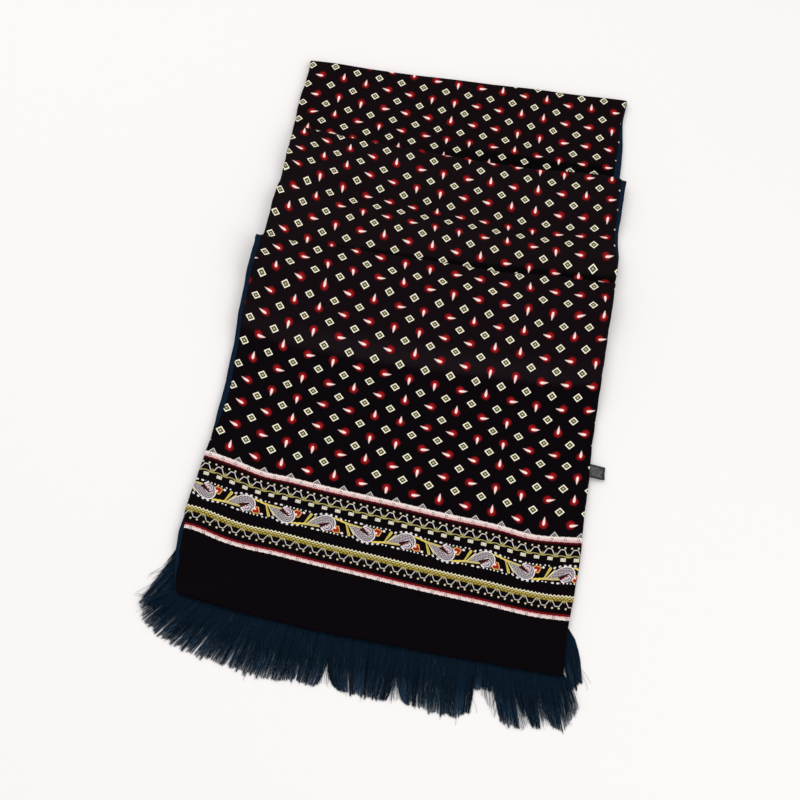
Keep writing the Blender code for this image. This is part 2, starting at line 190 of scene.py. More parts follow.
# Soft creases and swellings, listed one by one: middle, direction, half length, half width, height.
Crease = namedtuple("Crease", "x y degrees length width height")
TOP_CREASES = [
    Crease(0.120, -0.168, 68, 0.060, 0.0085, 0.0011),
    Crease(0.139, -0.160, 74, 0.050, 0.0060, -0.0007),
    Crease(-0.060, -0.228, 8, 0.070, 0.0060, 0.0006),
    Crease(-0.112, -0.236, 24, 0.030, 0.0050, 0.0008),
    Crease(0.045, -0.232, -6, 0.060, 0.0070, 0.0005),
    Crease(0.118, -0.226, 16, 0.034, 0.0060, 0.0008),
    Crease(-0.118, -0.130, 82, 0.085, 0.0100, 0.0007),
    Crease(-0.030, 0.030, 4, 0.090, 0.0120, 0.0005),
    Crease(0.030, -0.075, 3, 0.100, 0.0160, -0.0004),
    Crease(0.118, 0.020, 76, 0.060, 0.0120, 0.0006),
    Crease(-0.128, 0.010, 96, 0.050, 0.0090, -0.0005),
]
MIDDLE_CREASES = [
    Crease(-0.112, 0.128, 28, 0.034, 0.0070, 0.0009),
    Crease(0.105, 0.126, 18, 0.040, 0.0080, 0.0007),
    Crease(0.000, 0.160, 2, 0.080, 0.0080, -0.0004),
    Crease(-0.125, 0.168, 12, 0.022, 0.0040, 0.0006),
]
FAR_CREASES = [
    Crease(-0.060, 0.222, 4, 0.060, 0.0110, 0.0005),
    Crease(0.096, 0.232, 30, 0.034, 0.0080, 0.0006),
    Crease(-0.126, 0.205, 80, 0.030, 0.0060, 0.0004),
]


# ------------------------------------------------------------------- formulas
def smooth(a, b, value):
    part = np.clip((value - a) / (b - a), 0.0, 1.0)
    return part * part * (3 - 2 * part)


def curve(keys, values, at):
    """A smooth curve through a table's points, held at its ends."""
    keys, values = np.asarray(keys, float), np.asarray(values, float)
    at = np.clip(at, keys[0], keys[-1])
    i = np.clip(np.searchsorted(keys, at, side="right") - 1, 0, len(keys) - 2)
    slopes = np.diff(values) / np.diff(keys)
    tangent = np.concatenate([slopes[:1], (slopes[:-1] + slopes[1:]) / 2, slopes[-1:]])
    step = keys[i + 1] - keys[i]
    t = (at - keys[i]) / step
    return (
        (2 * t**3 - 3 * t**2 + 1) * values[i]
        + (t**3 - 2 * t**2 + t) * step * tangent[i]
        + (3 * t**2 - 2 * t**3) * values[i + 1]
        + (t**3 - t**2) * step * tangent[i + 1]
    )


def column(rows, key, name, at):
    return curve([getattr(r, key) for r in rows], [getattr(r, name) for r in rows], at)


def line(name, x):
    return column(ACROSS, "x", name, x)


def wobble(s, seed, *waves):
    """Uneven waviness: each wave is (length, size), and drifts in phase and size along s."""
    total = 0.0
    for n, (length, size) in enumerate(waves):
        phase = 2.399 * (seed * 7 + n * 3 + 1)
        drift = 1.7 * np.sin(s / (length * 3.7) + phase * 1.3) + 0.9 * np.sin(s / (length * 1.9) + phase)
        total = total + size * np.sin(2 * np.pi * s / length + phase + drift) * (0.7 + 0.3 * np.sin(s / (length * 2.6) + phase * 0.7))
    return total


def creases(rows, x, y):
    total = np.zeros_like(x)
    for c in rows:
        turn = math.radians(c.degrees)
        along = (x - c.x) * math.cos(turn) + (y - c.y) * math.sin(turn)
        aside = -(x - c.x) * math.sin(turn) + (y - c.y) * math.cos(turn)
        aside = aside + 0.12 * c.width * np.sin(along / c.length * 5 + c.x * 90)
        total += c.height * np.exp(-((aside / c.width) ** 2)) * np.exp(-((along / c.length) ** 4))
    return total


def far_height(x, y):
    return 2 * PITCH + np.zeros_like(x * y)


def middle_height(x, y):
    end = line("hidden_fold", x)
    start = line("fold_middle", x) - LEG_MIDDLE
    high = 4 * PITCH + HUMP * np.exp(-(((y - end + 0.004) / 0.013) ** 2))
    low = 2 * PITCH
    again = far_height(x, y) + GAP + 2 * TURN
    first = high + (low - high) * smooth(end + 0.001, end + 0.029, y)
    return first + (again - first) * smooth(start - 0.020, start - 0.001, y)


def top_height(x, y):
    under = line("under_hem", x)
    near = line("near_fold", x)
    start = line("fold_top", x) - LEG_TOP
    at_hem = FRINGE_WALL + GAP + LAYER
    height = at_hem + (2 * PITCH - at_hem) * smooth(under - HEM_RISE, under - 0.001, y)
    height = height + (4 * PITCH - height) * smooth(near - 0.004, near + 0.026, y)
    above = middle_height(x, np.maximum(y, start)) + GAP + 2 * TURN
    return height + (above - height) * smooth(start - 0.020, start - 0.001, y)


def row_number(rows, y):
    return curve([r.y for r in rows], [r.number for r in rows], y)


def bow(table, places, x, y):
    """How far the print's rows bow at (x, y), in mm."""
    levels = np.array([b.y for b in table], float)
    each = np.stack([curve(places, b.at, x) for b in table])
    i = np.clip(np.searchsorted(levels, y, side="right") - 1, 0, len(levels) - 2)
    t = np.clip((y - levels[i]) / (levels[i + 1] - levels[i]), 0, 1)
    low = np.take_along_axis(each.reshape(len(levels), -1), i.reshape(1, -1), 0).reshape(x.shape)
    high = np.take_along_axis(each.reshape(len(levels), -1), (i + 1).reshape(1, -1), 0).reshape(x.shape)
    return low + t * (high - low)


def top_print(x, y):
    near_fold = smooth(0.0, 0.022, y - line("fold_top", x) + 0.030)
    x, y = x * 1000 + 2.2 * near_fold, y * 1000 + 1.7 * near_fold
    return (x + 35.3), ALONG_MM * row_number(TOP_ROWS, y - bow(TOP_BOW, TOP_BOW_X, x, y))


def middle_print(x, y):
    x, y = x * 1000, y * 1000
    origin = -18.4 - (y - 79) * 0.045
    x = x - (1 - smooth(108, 150, y)) * curve((40, 60, 82, 103, 124, 146), (0, 0.5, 0.9, 1.3, 2.4, 4.4), x)
    x = x - smooth(108, 150, y) * curve((60, 95, 130), (0, 0.9, 1.5), x)
    across = ((x - origin) / 20.37 + 1) * ACROSS_MM
    return across, ALONG_MM * row_number(MIDDLE_ROWS, y - bow(MIDDLE_BOW, MIDDLE_BOW_X, x, y))


def far_print(x, y):
    x, y = x * 1000, y * 1000
    x = x - (1 - smooth(250, 290, y)) * curve((80, 100, 118, 134), (0, 1.2, 2.1, 2.6), x)
    across = (x + 44.7) / 19.7 * ACROSS_MM
    return across, ALONG_MM * row_number(FAR_ROWS, y - bow(FAR_BOW, FAR_BOW_X, x, y))


# --------------------------------------------------------------------- meshes
COLLECTION = bpy.context.scene.collection


def new_mesh(name, points, faces, surface, uv=None):
    mesh = bpy.data.meshes.new(name)
    points = np.asarray(points, float) + np.asarray(SHIFT)
    mesh.from_pydata(points.tolist(), [], faces)
    mesh.materials.append(surface)
    if uv is not None:
        layer = mesh.uv_layers.new(name="Cloth")
        corners = np.empty(len(mesh.loops), np.int32)
        mesh.loops.foreach_get("vertex_index", corners)
        layer.data.foreach_set("uv", np.asarray(uv, np.float32)[corners].ravel())
    mesh.shade_smooth()
    mesh.update()
    thing = bpy.data.objects.new(name, mesh)
    COLLECTION.objects.link(thing)
    return thing


def grid_faces(rows, columns, flip=False):
    faces = []
    for j in range(rows - 1):
        for i in range(columns - 1):
            a = j * columns + i
            quad = (a, a + 1, a + columns + 1, a + columns)
            faces.append(quad[::-1] if flip else quad)
    return faces


def sheet(name, points, uv, surface, wall):
    """points[j, i] is the outer surface; the wall grows inwards."""
    rows, columns = points.shape[:2]
    thing = new_mesh(name, points.reshape(-1, 3), grid_faces(rows, columns), surface, uv.reshape(-1, 2))
    shell = thing.modifiers.new("Wall", "SOLIDIFY")
    shell.thickness = wall
    shell.offset = -1.0
    shell.use_even_offset = False
    return thing


def stations_across(width, fine):
    """Distances from the left edge: close together at both edges, where the seams are."""
    near = [0.0, 0.0005, 0.0011, 0.0019, 0.0029, 0.0042, 0.0060]
    count = max(4, round((width - 0.012) / fine))
    inner = np.linspace(0.0060, width - 0.0060, count + 1)[1:-1]
    return np.concatenate([near, inner, [width - n for n in reversed(near)]])


def path(height, leg_height, y_start, y_turn, leg, radius, inset, step, x_at):
    """Points of one stretch and its far fold, row by row: (points, run), run being the length past the fold's start."""
    flat = max(6, round(float(np.mean(y_turn - y_start)) / step))
    shares = np.linspace(0, 1, flat + 1)
    rows, run = [], []
    for share in shares:
        y = y_start + (y_turn - y_start) * share
        x, y = x_at(y, share)
        rows.append(np.stack([x, y, height(x, y) - inset], -1))
        run.append(np.zeros_like(y))
    x_fold, y_fold, z_fold = rows[-1][:, 0], rows[-1][:, 1], rows[-1][:, 2] + inset
    turn_steps = 12
    for n in range(1, turn_steps + 1):
        angle = math.pi * (0.5 - n / turn_steps)
        rows.append(np.stack([
            x_fold, y_fold + radius * math.cos(angle), z_fold - TURN + radius * math.sin(angle)
        ], -1))
        run.append(np.full_like(y_fold, TURN * math.pi * n / turn_steps))
    legs = max(3, round(leg / 0.004))
    for n in range(1, legs + 1):
        back = leg * n / legs
        y = y_fold - back
        x, y = x_at(y, 1.0)
        rows.append(np.stack([x, y, leg_height(x, y) + inset], -1))
        run.append(np.full_like(y_fold, TURN * math.pi + back))
    return np.stack(rows), np.stack(run)


Stretch = namedtuple("Stretch", "name edges start fold height leg_height leg prints creases seed left right corners")


def build_stretch(s, silk, cloth):
    """The silk and the backing of one stretch."""

    def make(inset, radius, left, right, step, fine, wall, surface, title, is_silk):
        width = 0.295
        across = stations_across(width, fine)
        share_x = across / width

        def edges_at(y):
            low = column(s.edges, "y", "left", y) + (column(s.left, "y", "wide", y) if is_silk else left)
            high = column(s.edges, "y", "right", y) - (column(s.right, "y", "wide", y) if is_silk else right)
            low = low + wobble(y, s.seed, (0.047, 0.00028), (0.0171, 0.00016), (0.0063, 0.00006))
            high = high + wobble(y, s.seed + 5, (0.053, 0.00026), (0.0193, 0.00016), (0.0071, 0.00006))
            return low, high

        def x_at(y, share):
            low, high = edges_at(y)
            return low + share_x * (high - low), y

        # Rows run between the start line and the fold line, each at its own x.
        guess_x = -0.148 + share_x * 0.296
        y_start, y_turn = s.start(guess_x), s.fold(guess_x) - TURN
        for _ in range(4):
            xs, _y = x_at(y_start, 0)
            y_start = s.start(xs)
            xt, _y = x_at(y_turn, 1)
            y_turn = s.fold(xt) - TURN

        # rounded corners at the hem
        xs, _y = x_at(y_start, 0)
        low, high = edges_at(y_start)
        for away, radius_at in ((xs - low, s.corners[0]), (high - xs, s.corners[1])):
            if radius_at:
                reach = np.clip(1 - away / radius_at, 0, 1)
                y_start = y_start + radius_at * (1 - np.sqrt(1 - reach**2)) * 0.9

        def shape(x, y):
            low, high = edges_at(y)
            from_left, from_right = x - low, high - x
            near = np.minimum(from_left, from_right)
            z = s.height(x, y) + creases(s.creases, x, y)
            z = z + 0.00022 * np.sin(2 * np.pi * (x * 0.8 + y) / 0.083 + s.seed) + 0.00018 * np.sin(2 * np.pi * (x - 0.35 * y) / 0.061 + 2 * s.seed)
            # small puckers along the seams
            z = z + np.exp(-near / 0.0045) * wobble(y + np.where(from_left < from_right, 0.0, 0.37), s.seed + 9, (0.0112, 0.00016), (0.0067, 0.00009))
            if is_silk:
                z = z - 0.0006 * np.clip(1 - near / 0.0016, 0, 1) ** 2
            else:
                z = z - 0.0005 * np.clip(1 - near / 0.0014, 0, 1) ** 2
            return z

        points, run = path(shape, s.leg_height, y_start, y_turn, s.leg, radius, inset, step, x_at)
        points[..., 2] = np.maximum(points[..., 2], inset)  # nothing lies lower than the table
        flat_rows = int((run[:, 0] == 0).sum())
        P, Q = s.prints(points[..., 0], np.minimum(points[..., 1], y_turn[None, :]))
        fold_row = flat_rows - 1
        P[flat_rows:] = P[fold_row]
        Q[flat_rows:] = Q[fold_row] + run[flat_rows:] * 1000
        uv = np.stack([P, Q], -1) / 1000
        return sheet(title, points, uv, surface, wall)

    first = make(0.0, TURN, 0.0, 0.0,
                 0.0024, 0.0024, SILK_WALL, silk, "silk_" + s.name + "_cloth", True)
    second = make(UNDER_SILK, TURN - UNDER_SILK, TRIM if s.left is NO_REVEAL else 0.0, TRIM if s.right is NO_REVEAL else 0.0,
                  0.0032, 0.0034, CLOTH_WALL, cloth, "backing_" + s.name + "_cloth", False)
    return first, second


# ------------------------------------------------------------ shader formulas
class Number:
    """A number that varies over the cloth, worked out by Math nodes."""

    tree = None

    def __init__(self, source):
        self.source = source

    def __add__(self, other):
        return calc("ADD", self, other)

    __radd__ = __add__

    def __sub__(self, other):
        return calc("SUBTRACT", self, other)

    def __rsub__(self, other):
        return calc("SUBTRACT", other, self)

    def __mul__(self, other):
        return calc("MULTIPLY", self, other)

    __rmul__ = __mul__

    def __truediv__(self, other):
        return calc("DIVIDE", self, other)

    def __neg__(self):
        return calc("MULTIPLY", self, -1.0)

    def __abs__(self):
        return calc("ABSOLUTE", self)


def calc(operation, *inputs, clamp=False):
    node = Number.tree.nodes.new("ShaderNodeMath")
    node.operation = operation
    node.use_clamp = clamp
    for socket, value in zip(node.inputs, inputs):
        if isinstance(value, Number):
            Number.tree.links.new(value.source, socket)
        else:
            socket.default_value = value
    return Number(node.outputs[0])


def fract(a):
    return calc("FRACT", a)


def floor(a):
    return calc("FLOOR", a)


def least(a, b):
    return calc("MINIMUM", a, b)


def most(a, b):
    return calc("MAXIMUM", a, b)


def root(a):
    return calc("SQRT", a)


def wave(a):
    return calc("SINE", a)


def power(a, b):
    return calc("POWER", a, b)


SOFT = 0.14  # mm over which a printed edge goes from one colour to the next


def under(a, limit, soft=SOFT):
    """1 where a is below the limit."""
    if isinstance(limit, Number):
        return calc("MULTIPLY_ADD", limit - a, 1 / soft, 0.5, clamp=True)
    return calc("MULTIPLY_ADD", a, -1 / soft, limit / soft + 0.5, clamp=True)


def over(a, limit, soft=SOFT):
    return calc("MULTIPLY_ADD", a, 1 / soft, 0.5 - limit / soft, clamp=True)


def between(a, low, high, soft=SOFT):
    """1 where a lies between two limits."""
    return under(abs(a - (low + high) / 2), (high - low) / 2, soft)


def length(a, b):
    return root(a * a + b * b)


def centred(a, period):
    """Distance from the nearest multiple of the period, with its sign."""
    return (fract(calc("MULTIPLY_ADD", a, 1 / period, 0.5)) - 0.5) * period


def stroke(x, y, ax, ay, bx, by):
    """Distance from the straight stroke between two points."""
    dx, dy = bx - ax, by - ay
    along = calc("ADD", (x - ax) * (dx / (dx * dx + dy * dy)), (y - ay) * (dy / (dx * dx + dy * dy)), clamp=True)
    return length(x - ax - along * dx, y - ay - along * dy), along


def srgb(r, g, b):
    def one(v):
        v /= 255
        return v / 12.92 if v <= 0.04045 else ((v + 0.055) / 1.055) ** 2.4

    return (one(r), one(g), one(b), 1.0)


def paint(below, mask, color):
    """A colour laid over another where the mask is 1."""
    node = Number.tree.nodes.new("ShaderNodeMix")
    node.data_type = "RGBA"
    node.clamp_factor = True
    for socket, value in ((node.inputs["Factor"], mask), (node.inputs[6], below), (node.inputs[7], color)):
        if isinstance(value, Number):
            Number.tree.links.new(value.source, socket)
        elif isinstance(value, tuple):
            socket.default_value = value
        else:
            socket.default_value = value
    return Number(node.outputs[2])


def new_material(name):
    made = bpy.data.materials.new(name)
    made.use_nodes = True
    Number.tree = made.node_tree
    return made, made.node_tree.nodes["Principled BSDF"]


def cloth_coordinates():
    """P and Q in mm from the cloth's own map."""
    source = Number.tree.nodes.new("ShaderNodeUVMap")
    source.uv_map = "Cloth"
    split = Number.tree.nodes.new("ShaderNodeSeparateXYZ")
    Number.tree.links.new(source.outputs["UV"], split.inputs[0])
    return source, Number(split.outputs[0]) * 1000.0, Number(split.outputs[1]) * 1000.0


def noise(vector, scale, detail=2.0, rough=0.5, dimensions="2D"):
    node = Number.tree.nodes.new("ShaderNodeTexNoise")
    node.noise_dimensions = dimensions
    node.inputs["Scale"].default_value = scale
    node.inputs["Detail"].default_value = detail
    node.inputs["Roughness"].default_value = rough
    Number.tree.links.new(vector, node.inputs["Vector"])
    return Number(node.outputs[0])


def bump(height, distance, strength, normal=None):
    node = Number.tree.nodes.new("ShaderNodeBump")
    node.inputs["Distance"].default_value = distance
    node.inputs["Strength"].default_value = strength
    Number.tree.links.new(height.source, node.inputs["Height"])
    if normal is not None:
        Number.tree.links.new(normal, node.inputs["Normal"])
    return node.outputs[0]


# Where each drop's tail points, charted over eight columns and four rows of
# the toss; the next four rows are the same, moved on by four columns.
TOSS = ("LRDDRURD", "ULULURDR", "LUULLDDL", "LDDRLLUL")

GROUND = srgb(6, 3, 6)
OLIVE = srgb(152, 144, 74)
WINE = srgb(44, 6, 9)


def toss_code(u, v):
    """0 to 3 for a drop whose tail points up, down, left or right."""
    c = floor(u) + 5.0
    r = 3.0 - floor(v)
    r8 = calc("FLOORED_MODULO", r, 8.0)
    half = floor(r8 / 4.0)
    row = r8 - half * 4.0
    col = calc("FLOORED_MODULO", c + half * 4.0, 8.0)
    place = calc("MULTIPLY_ADD", row * 8.0 + col, 1 / 32, 0.5 / 32)
    ramp = Number.tree.nodes.new("ShaderNodeValToRGB")
    ramp.color_ramp.interpolation = "CONSTANT"
    codes = ["UDLR".index(letter) / 3 for text in TOSS for letter in text]
    elements = ramp.color_ramp.elements
    while len(elements) < 32:
        elements.new(0.5)
    for n, code in enumerate(codes):
        elements[n].position = n / 32
    for n, code in enumerate(codes):
        elements[n].color = (code, code, code, 1)
    Number.tree.links.new(place.source, ramp.inputs[0])
    split = Number.tree.nodes.new("ShaderNodeSeparateColor")
    Number.tree.links.new(ramp.outputs[0], split.inputs[0])
    return Number(split.outputs[0]) * 3.0


def black_silk_with_painted_light(P, Q):
    """Black silk with painted light and shade: darkest near the hem, where no painted sheen reaches; a painted sheen
    makes it paler past the ridge where it climbs onto the layers below, palest along that ridge, and paler on the
    middle and far stretches."""
    ridge = Q - P * 0.078
    # painted sheen: paler silk past the ridge
    color = paint(GROUND, over(ridge, -1.7, 6.0), srgb(14, 7, 11))
    # painted sheen: palest along the ridge itself
    painted_sheen_ridge = over(ridge, -1.2, 5.0) * under(ridge, 14.0, 13.0) * under(abs(P - 40.0), 130.0, 160.0)
    color = paint(color, painted_sheen_ridge, srgb(21, 15, 19))
    first = Q - P * 0.105
    # painted sheen: paler silk on the middle stretch
    color = paint(color, over(first, 104.0, 8.0), srgb(16, 9, 12))
    # painted shadow: dark band where the middle stretch comes out from under the top fold
    color = paint(color, between(first, 102.0, 115.5, 3.5) * over(P, -50.0, 60.0), srgb(2, 1, 2))
    second = Q - P * 0.078
    # painted sheen: paler silk on the far stretch
    color = paint(color, over(Q, 252.0, 10.0), srgb(14, 6, 9))
    # painted shadow: dark band where the far stretch comes out from under the middle fold
    return paint(color, between(second, 262.0, 292.5, 3.5) * over(P, 30.0, 60.0), srgb(2, 1, 2))


def field_print(P, Q):
    """Ground with small diamonds and drops."""
    u, v = P / ACROSS_MM, Q / ALONG_MM
    # drops, in the middle of each cell of the lattice
    a = (fract(u) - 0.5) * ACROSS_MM
    b = (fract(v) - 0.5) * ALONG_MM
    code = toss_code(u, v)
    upright = under(code, 1.5, 0.1)
    sign = over(abs(code - 1.5), 1.0, 0.1) * 2.0 - 1.0  # up and right are 1
    p = (upright * b + (1.0 - upright) * a) * sign
    q = upright * (a + 0.45) + (1.0 - upright) * b
    disc = length(p + 0.5, q)
    scallop = 0.2 * wave(calc("ARCTAN2", q, p + 0.5) * 5.0)
    color = paint(black_silk_with_painted_light(P, Q), under(disc, scallop + 3.5, 1.4), srgb(78, 8, 12))
    color = paint(color, under(disc, 2.5, 2.0), srgb(150, 19, 24))
    t = calc("MULTIPLY_ADD", p, 1 / 7.0, 1.4 / 7.0, clamp=True)
    bent = 0.0265 * (p + 1.4) * (p + 1.4) - 0.85
    middle = (1.0 - upright) * bent
    half_width = root(t) * (1.0 - t) * 3.0
    drop = under(abs(q - middle) - half_width, 0.0, 0.3) * over(t, 0.012, 0.01) * under(t, 0.988, 0.01)
    inner = under(abs(q - middle) - half_width * 0.6, 0.0, 0.5)
    color = paint(color, drop * (1.0 - t * 0.35), srgb(226, 178, 174))
    color = paint(color, inner * drop * (1.0 - t * 0.55), srgb(246, 230, 222))
    # diamonds, on the points of the lattice
    rim = abs(centred(P, ACROSS_MM)) + abs(centred(Q, ALONG_MM)) * 1.07
    color = paint(color, under(rim, 3.88), srgb(238, 234, 208))
    color = paint(color, under(rim, 2.7), srgb(46, 42, 30))
    color = paint(color, between(rim, 1.35, 2.0, 0.3) * 0.5, srgb(120, 112, 76))
    color = paint(color, under(rim, 1.05, 0.3), srgb(176, 170, 134))
    return color


def half_diamonds(color, P, d):
    """Cut diamonds that stand on the border's first band."""
    x = abs(centred(P + 1.45, ACROSS_MM))
    e = -1.75 - d
    t = x / 3.5 + e / 3.75
    above = over(e, 0.0)
    color = paint(color, under(t, 1.0, 0.06) * above, srgb(196, 190, 188))
    color = paint(color, under(t, 0.74, 0.06) * above, GROUND)
    color = paint(color, between(t, 0.30, 0.52, 0.06) * above, srgb(146, 140, 134))
    return color


def bands(color, P, d, middle, half, edge_red, red, pale_side):
    """A pale pinkish band with small rings, and a dark red stripe on its inner side."""
    near, far = edge_red
    color = paint(color, between(d, near, far, 0.8), WINE)
    color = paint(color, between(d, near, far, 0.35) * under(abs(d - middle), half + 1.6, 0.6), red)
    ragged = wave(P * 2.9) * 0.10 + wave(P * 1.37) * 0.12
    band = under(abs(d - middle + ragged), half, 0.3)
    color = paint(color, band, srgb(214, 172, 170))
    pale = under((d - middle) * pale_side, 0.25, 1.1) * band
    color = paint(color, pale, srgb(226, 219, 214))
    x = centred(P + 2.85, ACROSS_MM / 2)
    ring = length(x, d - middle - 0.35)
    speck = wave(P * (2 * math.pi / 1.725)) * wave((d - middle) * 2.6)
    color = paint(color, over(speck, 0.3, 0.4) * band * 0.6, srgb(158, 96, 100))
    color = paint(color, under(ring, 1.3, 0.3) * band * 0.6, srgb(236, 228, 222))
    color = paint(color, between(ring, 0.6, 1.15, 0.3) * band * 0.9, srgb(84, 56, 58))
    return color


def arches(color, P, d, top, direction, dots_aside, tint):
    """Flat-topped arches side by side, with two dots over each."""
    x = abs(centred(P, ACROSS_MM / 2))
    e = (d - top) * direction  # grows from the flat top towards the feet
    slope = most(x - 1.55, 0.0)
    middle = slope * 1.72
    half = 0.31 + least(slope, 0.4) * 0.75
    feet = under(e, 4.4, 0.2) * over(e, -0.8, 0.2)
    # olive tufts where the feet meet
    tuft = (5.175 - x) / 1.9 + abs(e - 4.3) / 1.9
    color = paint(color, under(tuft, 1.0, 0.35), srgb(112, 104, 54))
    color = paint(color, under(tuft, 0.5, 0.3), srgb(160, 148, 78))
    color = paint(color, under(abs(e - middle), half, 0.2) * feet, tint)
    y = abs(centred(P + dots_aside, ACROSS_MM / 2))
    dots = length(y - 2.5, e + 1.35)
    color = paint(color, under(dots, 0.74, 0.25), srgb(200, 192, 152))
    return color


def garland(color, P, d):
    """The thin olive line under the arches and the row of pale blocks below it."""
    x = centred(P, ACROSS_MM / 2)
    sag = 13.25 + wave((abs(x) - 2.6) * 0.607) * 0.34
    color = paint(color, under(abs(d - sag), 0.3, 0.25), srgb(170, 158, 98))
    color = paint(color, under(abs(d - sag - 0.5), 0.2, 0.2) * over(abs(x), 2.2, 0.3), OLIVE)
    y = centred(P - 1.35, ACROSS_MM / 2)
    block = under(abs(y), 2.05) * between(d, 14.6, 17.2)
    color = paint(color, block, srgb(206, 201, 182))
    return paint(color, block * between(abs(y), 0.8, 1.25, 0.2) * between(d, 15.2, 16.6, 0.2), srgb(150, 144, 122))


def braid(color, P, d):
    """Scalloped white line over an olive braid."""
    x = centred(P, ACROSS_MM / 7)
    scallop = abs(x) * 0.86
    color = paint(color, under(abs(d - 43.75 - scallop), 0.56, 0.2), srgb(216, 208, 176))
    color = paint(color, between(d, 45.25, 48.45, 0.25), srgb(84, 72, 24))
    first = under(length(x * 0.85, (d - 45.95) * 1.5), 0.98, 0.25)
    y = centred(P + ACROSS_MM / 14, ACROSS_MM / 7)
    second = under(length(y * 0.85, (d - 47.45) * 1.4), 0.92, 0.25)
    color = paint(color, first, srgb(178, 166, 88))
    color = paint(color, second, srgb(156, 134, 52))
    return color


def boteh_row(color, P, d):
    """A running row of small curled leaves, pointing up and down in turn, with hearts, stems and dashes."""
    step = ACROSS_MM * 1.5
    axis = 28.2
    cell = (P + 27.2) / step
    number = floor(cell)
    flip = 1.0 - calc("FLOORED_MODULO", number, 2.0) * 2.0
    X = (cell - number) * step
    Y = (axis - d) * flip
    inside = between(d, 18.9, 37.4)

    # dashes that follow the back of each leaf, dots before and behind them
    back = 8.0 - (X - 20.5) * (X - 20.5) * 0.021
    dash = under(length(centred(X - 1.6, 3.9) * 0.78, Y - back), 0.78, 0.25) * over(X, 8.0, 0.05)
    early = under(length(centred(X - 1.6, 3.1), Y - 6.4), 0.6, 0.25) * under(X, 5.6, 0.05)
    color = paint(color, most(dash, early) * inside, srgb(212, 207, 206))
    bar = under(length(centred(X - 1.0, 4.2) * 0.6, Y + 6.3), 0.68, 0.25) * between(X, 6.6, 15.0, 0.05)
    small = under(length(centred(X - 1.4, 2.75), Y + 6.35 - over(X, 18.0, 3.0) * 0.3), 0.58, 0.25) * over(abs(X - 10.6), 5.0, 0.05)
    color = paint(color, most(bar, small) * inside, srgb(220, 215, 208))

    # stem and sprig, in a cell of their own because they reach into the last one
    cell2 = (P + 27.2 + 8.2) / step
    number2 = floor(cell2)
    flip2 = 1.0 - calc("FLOORED_MODULO", number2, 2.0) * 2.0
    S = (cell2 - number2) * step - 8.2
    T = (axis - d) * flip2
    far1, at1 = stroke(S, T, -6.6, -6.1, 4.6, -3.7)
    far1 = far1 + wave(at1 * 22.0) * 0.14
    far2, at2 = stroke(S, T, 2.2, -4.2, 6.2, 4.5)
    leaf = under(far2, 0.35 + at2 * 0.68, 0.25)
    color = paint(color, most(under(far1, 0.7, 0.25), leaf) * inside, srgb(212, 190, 92))
    color = paint(color, under(far2, 0.06 + at2 * 0.2, 0.25) * inside, srgb(112, 98, 38))
    point = under(length((S - 0.6) * 0.85, T - 4.4), 0.85, 0.3)
    color = paint(color, point * inside, srgb(226, 222, 218))

    # pointed heart behind the curled head
    along = (X - 27.0) * 0.88 - (Y + 2.5) * 0.47
    aside = (X - 27.0) * 0.47 + (Y + 2.5) * 0.88
    heart = length(least(along, 0.0), aside) + most(along, 0.0) * 0.8
    edge = heart + wave(aside * 3.4 + along * 2.0) * 0.16
    color = paint(color, under(edge, 3.25, 0.25) * over(along, -2.2, 1.6) * inside, srgb(226, 160, 84))
    color = paint(color, under(heart, 2.45, 0.3), srgb(92, 14, 12))
    color = paint(color, under(heart, 1.7, 1.1), srgb(156, 34, 24))
    color = paint(color, under(length(X - 26.1, Y + 1.4), 0.85, 0.4), srgb(238, 208, 190))

    # body: a leaf that starts at the tail, swells to a rounded back and hooks round below
    disc = length(X - 19.3, Y - 1.0)
    t = calc("MULTIPLY_ADD", X, 1 / 11.0, -4.6 / 11.0, clamp=True)
    low = t * 1.3 - 3.9
    high = power(t, 0.72) * 10.7 - 3.7
    tail = under(low - Y, 0.0) * under(Y - high, 0.0) * between(X, 4.6, 15.3, 0.05)
    body = most(most(under(disc, 6.5), tail), under(length(X - 17.6, Y + 3.5), 2.3)) * inside
    inward = most(6.5 - disc, least(high - Y, (Y - low) * 1.5) * under(X, 15.3, 0.05))
    color = paint(color, body, srgb(58, 50, 54))
    veins = over(wave((inward - 0.1) * 4.0 + wave(X * 1.5) * 0.5), 0.1, 0.9)
    mesh = wave((X * 0.8 + Y) * 3.0) * wave((X - Y * 0.8) * 2.8)
    color = paint(color, veins * body * 0.7, srgb(186, 176, 180))
    color = paint(color, body * over(mesh, 0.2, 0.6) * over(inward, 0.7, 0.3) * 0.7, srgb(204, 196, 198))
    color = paint(color, body * under(mesh, -0.3, 0.5) * over(inward, 0.7, 0.3) * 0.85, srgb(30, 24, 28))
    color = paint(color, body * under(inward, 0.6, 0.3), srgb(226, 220, 220))

    # the hook: a few turns of fine line under the dark red opening
    hx, hy = X - 20.0, Y + 1.6
    r = length(hx, hy)
    curls = over(wave((r - 0.2) * 3.7 + calc("ARCTAN2", hy, hx)), 0.0, 0.8)
    hook = under(r, 4.0, 0.6) * body
    color = paint(color, hook * 0.9, srgb(44, 34, 40))
    color = paint(color, curls * hook * 0.9, srgb(214, 200, 206))
    far4, at4 = stroke(X, Y, 14.4, -2.5, 20.4, 1.3)
    opening = under(far4, 1.6 - at4 * 0.9, 0.4) * over(X, 13.2, 0.4)
    color = paint(color, opening * body, srgb(50, 10, 15))
    lip, _at = stroke(X, Y, 15.8, -4.3, 21.8, -0.6)
    color = paint(color, under(abs(lip - 0.2), 0.35, 0.4) * body * 0.6, srgb(214, 190, 200))

